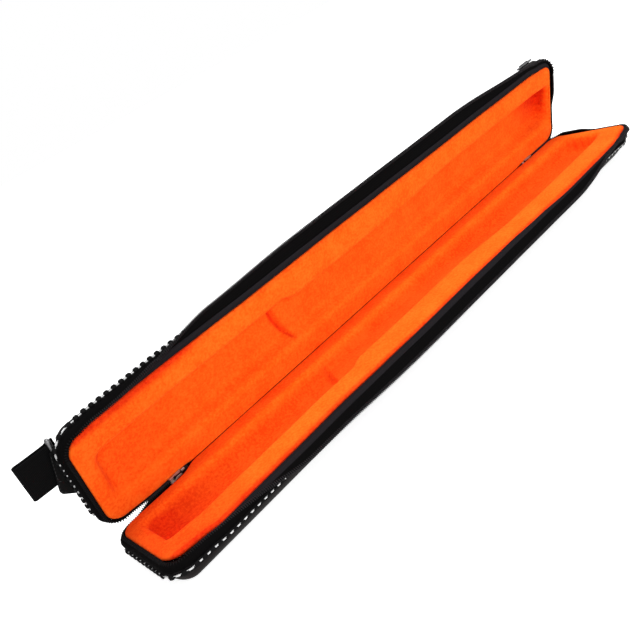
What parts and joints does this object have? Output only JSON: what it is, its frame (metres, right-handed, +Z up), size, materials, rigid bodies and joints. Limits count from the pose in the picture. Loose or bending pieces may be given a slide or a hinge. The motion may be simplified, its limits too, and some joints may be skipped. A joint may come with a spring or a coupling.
{
  "type": "flute bag",
  "caption": "Long semi-rigid zip bag for a flute: two plush-lined padded trays on a fabric hinge, with webbing grab loop, strap rings and zip sliders.",
  "frame": {"origin": "middle of the base tray's flat underside, on the ground", "axes": "+X along the bag from the end with the webbing loop to the other end, +Y from the free side to the hinge side, +Z up"},
  "size_m": [0.611, 0.1118, 0.1167],
  "materials": {
    "cover_vinyl": "grained vinyl, soft sheen",
    "foam": "open foam",
    "plush": "short brushed pile",
    "binding": "smooth woven strip",
    "trim": "black and white woven braid",
    "zip_tape": "fine twill",
    "zip_coil": "nylon coil",
    "spine_cloth": "plain weave",
    "slider_metal": "black nickel",
    "ring_metal": "dull nickel",
    "webbing": "woven polypropylene",
    "tab_vinyl": "matte grained vinyl"
  },
  "bodies": {
    "base": {"base_cover": "cover_vinyl", "base_foam": "foam", "base_lining": "plush", "base_binding": "binding", "base_trim": "trim", "base_tape": "zip_tape", "base_coil": "zip_coil", "spine": "spine_cloth", "near_zip_stop": "slider_metal", "far_zip_stop": "slider_metal"},
    "lid": {"lid_cover": "cover_vinyl", "lid_foam": "foam", "lid_lining": "plush", "lid_binding": "binding", "lid_trim": "trim", "lid_tape": "zip_tape", "lid_coil": "zip_coil", "webbing_loop": "webbing", "end_tab": "tab_vinyl", "far_anchor": "tab_vinyl"},
    "near_slider": {"near_slider": "slider_metal"},
    "far_slider": {"far_slider": "slider_metal"},
    "near_pull": {"near_pull": "slider_metal"},
    "far_pull": {"far_pull": "slider_metal"},
    "near_ring": {"near_ring": "ring_metal"},
    "far_ring": {"far_ring": "ring_metal"}
  },
  "joints": [
    {"name": "lid_hinge", "type": "hinge", "parent": "base", "child": "lid", "pos_m": [0, 0.0448, 0.021], "axis": [-1, 0, 0], "range_deg": [-71.5, 107], "deforming": ["spine"]},
    {"name": "near_slide", "type": "slide", "parent": "base", "child": "near_slider", "axis": [-1, 0, 0], "range_m": [0, 0.02], "deforming": ["base_tape", "lid_tape", "base_coil", "lid_coil"]},
    {"name": "far_slide", "type": "slide", "parent": "base", "child": "far_slider", "axis": [1, 0, 0], "range_m": [0, 0.02], "deforming": ["base_tape", "lid_tape", "base_coil", "lid_coil"]},
    {"name": "near_pull_swing", "type": "hinge", "parent": "near_slider", "child": "near_pull", "pos_m": [-0.2376, 0.0448, 0.0177], "axis": [0, -1, 0], "range_deg": [0, 120]},
    {"name": "far_pull_swing", "type": "hinge", "parent": "far_slider", "child": "far_pull", "pos_m": [0.2376, 0.0448, 0.0177], "axis": [0, 1, 0], "range_deg": [0, 120]},
    {"name": "near_ring_swing", "type": "hinge", "parent": "lid", "child": "near_ring", "pos_m": [-0.2931, 0.0384, 0.08614], "axis": [0, -0.3173, 0.9483], "range_deg": [-30, 40]},
    {"name": "far_ring_swing", "type": "hinge", "parent": "lid", "child": "far_ring", "pos_m": [0.2715, 0.03757, 0.10529], "axis": [-1, 0, 0], "range_deg": [0, 150]}
  ]
}
